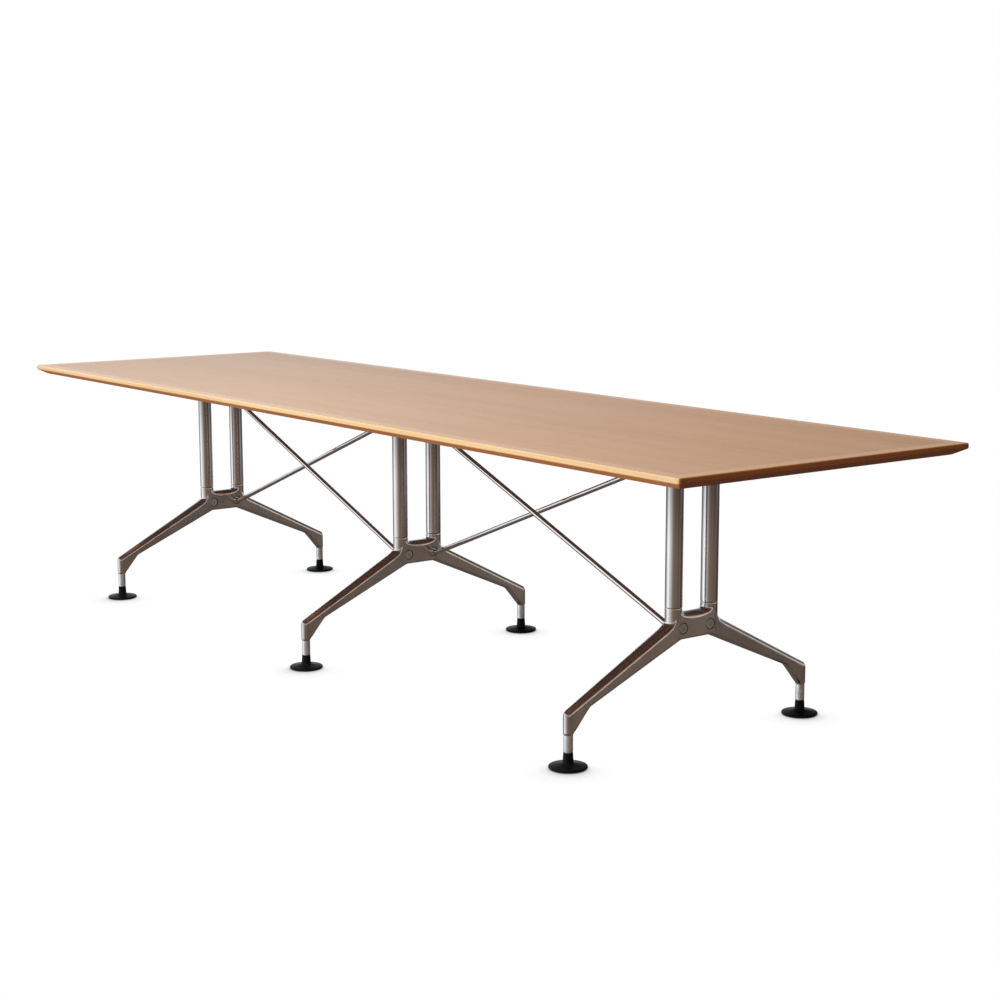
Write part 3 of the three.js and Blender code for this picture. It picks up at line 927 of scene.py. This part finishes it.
class TABLE_OT_rods(Operator):
    """Makes the four brace rods"""
    bl_idname = "table.rods"
    bl_label = "Brace rods"

    def execute(self, context):
        finish = chrome_finish(context.scene.table_colours, "chrome_rod", 0.05)
        hub = hub_face(context.scene.table_frame)
        for bay in (1, 2):
            for side, way in SIDES.items():
                node = f"brace_rod_{bay}_{side}"
                stations = rod_stations(context.scene.table_brace, hub, node, bay, way)
                rod = bar(f"rod_{bay}_{side}", stations, 36)
                smooth(rod, 40, weighted=True)
                install(rod, finish, "table", "chrome_rod", node)
        return {"FINISHED"}


def plug_stations(sizes, node, way):
    """A plug from its stem out to its dimpled face."""
    low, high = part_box(node)
    y, z = (low.y + high.y) / 2, (low.z + high.z) / 2
    outer, inner = (high.x, low.x) if way > 0 else (low.x, high.x)
    ring, chamfer = sizes.rosette_radius, sizes.chamfer
    rows = [
        (abs(outer - inner), sizes.rod_radius),
        (sizes.rosette_thickness, sizes.rod_radius),
        (sizes.rosette_thickness, ring),
        (chamfer, ring),
        (0, ring - chamfer),
        (0, sizes.dimple_radius),
        (sizes.dimple_depth, sizes.dimple_radius * 0.8),
    ]
    axis = Vector((way, 0, 0))
    return [(Vector((outer - way * depth, y, z)), axis, radius) for depth, radius in rows]


class TABLE_OT_plugs(Operator):
    """Makes the plugs in the sockets that hold no rod"""
    bl_idname = "table.plugs"
    bl_label = "Plugs"

    def execute(self, context):
        finish = bpy.data.materials["cast_aluminium"]
        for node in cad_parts:
            if node.startswith("plug_"):
                way = FACES[node.split("_")[3]]
                plug = bar(f"socket_{node}", plug_stations(context.scene.table_brace, node, way), 48)
                smooth(plug, 30, weighted=True)
                install(plug, finish, "table", "cast_aluminium", node)
        return {"FINISHED"}


# Head brackets and screws


def block(name, low, high):
    low, high = Vector(low), Vector(high)
    return begin(name, bpy.ops.mesh.primitive_cube_add, size=1, location=(low + high) / 2, scale=high - low)


def head_body(sizes, frame_sizes, brace):
    """Plate, ribs, collars, spigots and rod lugs of one head, blended into one skin about X = 0."""
    low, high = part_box("head_bracket_1")
    tube = extent("column_1_front")
    column_y = middle("column_1_back").y
    tube_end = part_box("column_1_front")[1].z
    rod_y = abs(middle("brace_rod_1_back").y)
    under_plate = high.z - sizes.plate
    half = sizes.width / 2
    parts = [block("head", (-half, low.y, under_plate), (half, high.y, high.z))]
    rib = sizes.rib / 2
    rib_end = high.y - sizes.rib_inset
    root = tube_end + sizes.plate
    outline = [(-rib_end, under_plate - sizes.rib_tip), (0, root), (rib_end, under_plate - sizes.rib_tip)]
    outline += [(rib_end, high.z - sizes.plate / 2), (-rib_end, high.z - sizes.plate / 2)]
    parts.append(skinned("rib", [[Vector((x, y, z)) for y, z in outline] for x in (-rib, rib)]))
    for side in SIDES.values():
        radius = tube.y / 2
        for reach, low_z, high_z in (
                (radius, tube_end, under_plate + sizes.plate / 2),
                (radius - frame_sizes.tube_wall * 1.3, tube_end - sizes.spigot, tube_end + sizes.neck)):
            place = (0, side * column_y, (low_z + high_z) / 2)
            parts.append(cylinder("collar", place, reach, high_z - low_z, 64))
        left, right = sorted((0, side * sizes.lug_reach))
        low_corner = (left, -side * rod_y - sizes.lug_width / 2, under_plate - sizes.lug_depth)
        high_corner = (right, -side * rod_y + sizes.lug_width / 2, under_plate + sizes.plate / 2)
        parts.append(block("lug", low_corner, high_corner))
    body = joined(parts)
    cast_skin(body, sizes.voxel, sizes.blend, polish=12)
    rod_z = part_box("brace_rod_1_back")[1].z - brace.rod_radius
    hole = brace.rod_radius + frame_sizes.socket_gap / 2
    hole_depth = 0.03
    for side in SIDES.values():
        place = (side * sizes.lug_reach, -side * rod_y, rod_z)
        cut(body, cylinder("hole", place, hole, hole_depth, 48, rotation=SIDEWAYS))
    smooth(body, 40)
    return body


class TABLE_OT_heads(Operator):
    """Makes the three head brackets under the top"""
    bl_idname = "table.heads"
    bl_label = "Head brackets"

    def execute(self, context):
        scene = context.scene
        finish = bpy.data.materials["cast_aluminium"]
        body = head_body(scene.table_head, scene.table_frame, scene.table_brace)
        set_out(body, "head", "head_bracket", finish)
        return {"FINISHED"}


class TABLE_OT_screws(Operator):
    """Makes the twelve screws that hold the top"""
    bl_idname = "table.screws"
    bl_label = "Screws"

    def execute(self, context):
        sizes = context.scene.table_head
        finish = steel_finish(context.scene.table_colours, "screw_steel")
        low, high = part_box("top_screw_1_1")
        head, shank, tall = sizes.screw_head, sizes.screw_radius, sizes.screw_head_height
        length = high.z - low.z
        outline = [(0, 0, 0), (head * 0.7, 0, tall / 2), (head, tall * 0.6, tall / 5), (head, tall, 0)]
        outline += [(shank, tall, 0), (shank, length - shank, 0), (0, length, 0)]
        screw = turned("screw", rounded(outline), 32)
        for turn in (0, math.pi / 2):
            tool = begin("recess", bpy.ops.mesh.primitive_cube_add, size=1, rotation=(0, 0, turn),
                         scale=(sizes.recess, sizes.recess / 5, tall))
            cut(screw, tool)
        smooth(screw, 35)
        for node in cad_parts:
            if node.startswith("top_screw_"):
                place = Vector((middle(node).x, middle(node).y, low.z))
                piece = copied(screw, node.replace("top_screw", "screw"), place)
                install(piece, finish, "table", "steel", node)
        discard(screw)
        return {"FINISHED"}


# Adjustable feet


def sleeve_profile(sizes):
    low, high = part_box("sleeve_1_front")
    radius = extent("sleeve_1_front").y / 2
    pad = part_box("foot_casting_1")[0].z
    edge = sizes.sleeve_chamfer
    return [
        (0, high.z - sizes.bore_end), (sizes.bore, high.z - sizes.bore_end), (sizes.bore, low.z),
        (radius - edge, low.z), (radius, low.z + edge), (radius, pad - edge), (radius - edge, pad),
        (sizes.spigot_radius, pad), (sizes.spigot_radius, high.z), (0, high.z)]


def spindle_profile(sizes):
    low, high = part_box("spindle_1_front")
    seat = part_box("glide_1_front")[1].z + sizes.play
    foot = low.z + sizes.play
    radius, root = sizes.spindle_radius, sizes.spindle_radius - sizes.thread_depth
    top_of_flange = seat + sizes.flange_height
    points = [(0, foot), (radius, foot), (radius, seat), (sizes.flange_radius, seat)]
    points += [(sizes.flange_radius, top_of_flange), (root, top_of_flange)]
    turns = int((high.z - top_of_flange) / sizes.thread_pitch) - 1
    for turn in range(turns):
        groove = top_of_flange + (turn + 0.5) * sizes.thread_pitch
        points += [(root, groove), (radius, groove + sizes.thread_pitch / 2)]
    points += [(root, high.z), (0, high.z)]
    return points


def glide_profile(sizes):
    low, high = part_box("glide_1_front")
    rim = extent("glide_1_front").x / 2
    lip, arris, recess = 0.0004, 0.0012, 0.0010
    corners = [
        (0, low.z + sizes.floor, 0),
        (sizes.bore, low.z + sizes.floor, 0),
        (sizes.bore, high.z, lip),
        (sizes.neck_radius, high.z, arris),
        (sizes.neck_base, sizes.dome, sizes.neck_blend),
        ((rim + sizes.neck_base) / 2, sizes.dome * 0.45 + sizes.rim_top * 0.55, 0.05),
        (rim - 0.0014, sizes.rim_top, 0.0026),
        (rim, sizes.rim_top / 2, 0.0018),
        (rim - 0.0022, low.z, arris),
        (rim - 0.0070, low.z, lip),
        (rim - 0.0080, low.z + recess, lip),
        (0, low.z + recess, 0),
    ]
    return rounded(corners, steps=6)


class TABLE_OT_feet(Operator):
    """Makes the six sleeves, spindles and glides"""
    bl_idname = "table.feet"
    bl_label = "Adjustable feet"

    def execute(self, context):
        sizes = context.scene.table_foot
        colours = context.scene.table_colours
        steel = steel_finish(colours, "steel")
        plastic = plastic_finish(colours)
        kinds = (
            ("sleeve", sleeve_profile(sizes), 56, 35, "table", steel, "steel"),
            ("spindle", spindle_profile(sizes), 36, 20, "spindle_body_{}", steel, "steel"),
            ("glide", glide_profile(sizes), 72, 40, "glide_body_{}", plastic, "black_plastic"))
        for kind, profile, steps, angle, body, finish, slot in kinds:
            pattern = turned(kind, profile, steps)
            smooth(pattern, angle, weighted=True)
            for foot in FEET:
                node = f"{kind}_{foot}"
                spot = middle(node)
                piece = copied(pattern, f"foot_{node}", (spot.x, spot.y, 0))
                install(piece, finish, body.format(foot), slot, node)
            discard(pattern)
        return {"FINISHED"}


# Stage


def room_light(world):
    """White behind all that the camera sees, and round the table a room that lights it and shows in
    its metal: windows on the left, a brown right side, a bright band at the horizon, a dark floor."""
    tree = Tree(world)
    camera = tree.node("ShaderNodeLightPath", {}, {}, "Is Camera Ray")
    glossy = tree.node("ShaderNodeLightPath", {}, {}, "Is Glossy Ray")
    x, y, z = tree.axes("Generated")
    turn = x.math("ARCTAN2", y, x) / (2 * math.pi) + 0.5
    windows = [
        (0.00, (0.12, 0.12, 0.13)), (0.03, (0.32, 0.32, 0.33)), (0.085, (0.36, 0.36, 0.37)),
        (0.12, (1, 1, 1)), (0.185, (1, 1, 1)), (0.215, (0.64, 0.64, 0.66)), (0.255, (0.58, 0.58, 0.58)),
        (0.29, (0.42, 0.385, 0.36)), (0.327, (0.26, 0.205, 0.17)), (0.363, (0.19, 0.14, 0.105))]
    near = tree.ramp(turn, windows + [
        (0.40, (0.16, 0.115, 0.088)), (0.47, (0.155, 0.112, 0.085)), (0.53, (0.13, 0.088, 0.065)),
        (0.585, (0.115, 0.087, 0.07)), (0.615, (0.165, 0.122, 0.096)), (0.645, (0.07, 0.05, 0.04)),
        (0.70, (0.05, 0.04, 0.036)), (0.80, (0.08, 0.08, 0.08)), (1.00, (0.12, 0.12, 0.13))])
    far = tree.ramp(turn, windows + [
        (0.40, (0.14, 0.10, 0.074)), (0.435, (0.105, 0.077, 0.055)), (0.47, (0.145, 0.11, 0.085)),
        (0.51, (0.10, 0.072, 0.052)), (0.545, (0.06, 0.045, 0.035)), (0.58, (0.10, 0.078, 0.064)),
        (0.61, (0.10, 0.08, 0.07)), (0.645, (0.36, 0.35, 0.36)), (0.68, (0.11, 0.10, 0.095)),
        (1.00, (0.12, 0.12, 0.13))])
    above = tree.ramp(turn, [
        (0.00, (0.85, 0.90, 0.95)), (0.20, (1, 1, 1)), (0.28, (0.6, 0.6, 0.62)), (0.36, (0.24, 0.18, 0.14)),
        (0.66, (0.20, 0.155, 0.125)), (0.72, (0.10, 0.09, 0.085)), (0.84, (0.10, 0.09, 0.08)),
        (0.875, (0.24, 0.24, 0.24)), (0.90, (0.46, 0.54, 0.60)), (0.92, (0.68, 0.90, 1.0)),
        (1.00, (0.85, 0.90, 0.95))])
    warm_wall = turn.ease(0.50, 0.57) - turn.ease(0.63, 0.68)
    shown = tree.mix(above, (0.40, 0.27, 0.19), warm_wall)
    shown = tree.mix(shown, (0.07, 0.05, 0.045), z.ease(0.32, 0.58))
    above = tree.mix(above, shown, glossy)
    horizon = tree.ramp(turn, [
        (0.00, (1, 1, 1)), (0.20, (1, 1, 1)), (0.34, (0.4, 0.4, 0.4)), (0.54, (0.6, 0.58, 0.55)),
        (0.62, (0.9, 0.88, 0.85)), (0.70, (0.5, 0.5, 0.5)), (0.84, (1, 1, 1))])
    ground = tree.ramp(turn, [
        (0.00, (0.085, 0.066, 0.055)), (0.08, (0.75, 0.50, 0.33)), (0.26, (0.75, 0.50, 0.33)),
        (0.33, (0.085, 0.066, 0.055)), (1.00, (0.085, 0.066, 0.055))])
    ground = tree.mix(ground, (0.10, 0.077, 0.063), glossy)
    room = tree.mix(near, far, z.ease(-0.172, -0.145))
    room = tree.mix(ground, room, z.ease(-0.41, -0.29))
    room = tree.mix(room, above, z.ease(-0.02, 0.08))
    room = tree.mix(room, horizon, z.ease(-0.05, -0.01) - z.ease(0.05, 0.18))
    colour = tree.mix(room, (1, 1, 1), camera)
    light = tree.node("ShaderNodeBackground", {}, {"Color": colour, "Strength": 1})
    tree.node("ShaderNodeOutputWorld", {}, {"Surface": light})


def floor_finish():
    """A white floor that shows only the soft shadow close to what stands on it."""
    tree = new_finish("floor")
    camera = tree.node("ShaderNodeLightPath", {}, {}, "Is Camera Ray")
    away = {"Distance": 0.075, "Normal": tree.vector(-0.72, 0.54, 0.45)}
    near = tree.node("ShaderNodeAmbientOcclusion", {"samples": 16}, away, "AO")
    shade = (1 - near).math("MULTIPLY", 1 - near, 1.5, clamp=True) * camera
    clear = tree.node("ShaderNodeBsdfTransparent", {}, {})
    dark = tree.node("ShaderNodeEmission", {}, {"Color": (0.02, 0.02, 0.02, 1)})
    surface = tree.node("ShaderNodeMixShader", {}, {0: shade, 1: clear, 2: dark})
    tree.node("ShaderNodeOutputMaterial", {}, {"Surface": surface})
    return tree.owner


def add_softbox(name, place, target, width, height, power):
    bpy.ops.object.light_add(type="AREA", location=place)
    lamp = bpy.context.active_object
    lamp.name = name
    lamp.data.shape = "RECTANGLE"
    lamp.data.size = width
    lamp.data.size_y = height
    lamp.data.energy = power
    lamp.visible_glossy = False
    lamp.rotation_euler = (Vector(target) - Vector(place)).to_track_quat("-Z", "Y").to_euler()


def add_camera():
    """The viewpoint; the focal length is in pixels of a view 1000 pixels wide and high."""
    viewpoint = (4.3868, -2.9896, 1.3014)
    pixels = 1000
    focal = 1882.3
    yaw, pitch, roll = (math.radians(angle) for angle in (143.16, -9.30, -0.10))
    ahead = Vector((math.cos(yaw) * math.cos(pitch), math.sin(yaw) * math.cos(pitch), math.sin(pitch)))
    right = Vector((math.sin(yaw), -math.cos(yaw), 0))
    above = right.cross(ahead)
    turn = Matrix((right, above, -ahead)).transposed() @ Matrix.Rotation(roll, 3, "Z")
    bpy.ops.object.camera_add(location=viewpoint, rotation=turn.to_euler())
    camera = bpy.context.active_object
    camera.data.sensor_width = 36
    camera.data.lens = focal / pixels * camera.data.sensor_width
    bpy.context.scene.camera = camera


class TABLE_OT_stage(Operator):
    """Adds the floor, the light and the camera"""
    bl_idname = "table.stage"
    bl_label = "Stage"

    def execute(self, context):
        under_glides = (0, 0, -0.0003)
        floor = begin("floor", bpy.ops.mesh.primitive_plane_add, size=14, location=under_glides)
        floor.data.materials.append(floor_finish())
        context.scene.world = context.scene.world or bpy.data.worlds.new("room")
        room_light(context.scene.world)
        add_softbox("front_softbox", (-1.2, -8.5, 1.2), (0, 0, 0.7), 5.0, 4.0, 345)
        add_softbox("ceiling_softbox", (-0.2, -1.4, 2.9), (0.1, -0.2, 0.7), 4.4, 2.0, 76)
        add_camera()
        context.scene.view_settings.view_transform = "Standard"
        return {"FINISHED"}


# Add-on


STEPS = (
    TABLE_OT_top, TABLE_OT_columns, TABLE_OT_castings, TABLE_OT_rods, TABLE_OT_plugs,
    TABLE_OT_heads, TABLE_OT_screws, TABLE_OT_feet, TABLE_OT_stage)


class TABLE_PT_build(Panel):
    """Lists the steps that dress the table"""
    bl_idname = "TABLE_PT_build"
    bl_label = "Conference Table"
    bl_space_type = "VIEW_3D"
    bl_region_type = "UI"
    bl_category = "Table"

    def draw(self, context):
        for step in STEPS:
            self.layout.operator(step.bl_idname)


GROUPS = {
    "table_top": TopSizes, "table_frame": FrameSizes, "table_brace": BraceSizes,
    "table_head": HeadSizes, "table_foot": FootSizes, "table_colours": TableColours}


def register():
    for group in (*GROUPS.values(), *STEPS, TABLE_PT_build):
        bpy.utils.register_class(group)
    for name, group in GROUPS.items():
        setattr(bpy.types.Scene, name, PointerProperty(type=group))


def unregister():
    for name in GROUPS:
        delattr(bpy.types.Scene, name)
    for group in (TABLE_PT_build, *reversed(STEPS), *GROUPS.values()):
        bpy.utils.unregister_class(group)


def main():
    register()
    for step in STEPS:
        module, name = step.bl_idname.split(".")
        getattr(getattr(bpy.ops, module), name)()


if __name__ == "__main__":
    main()
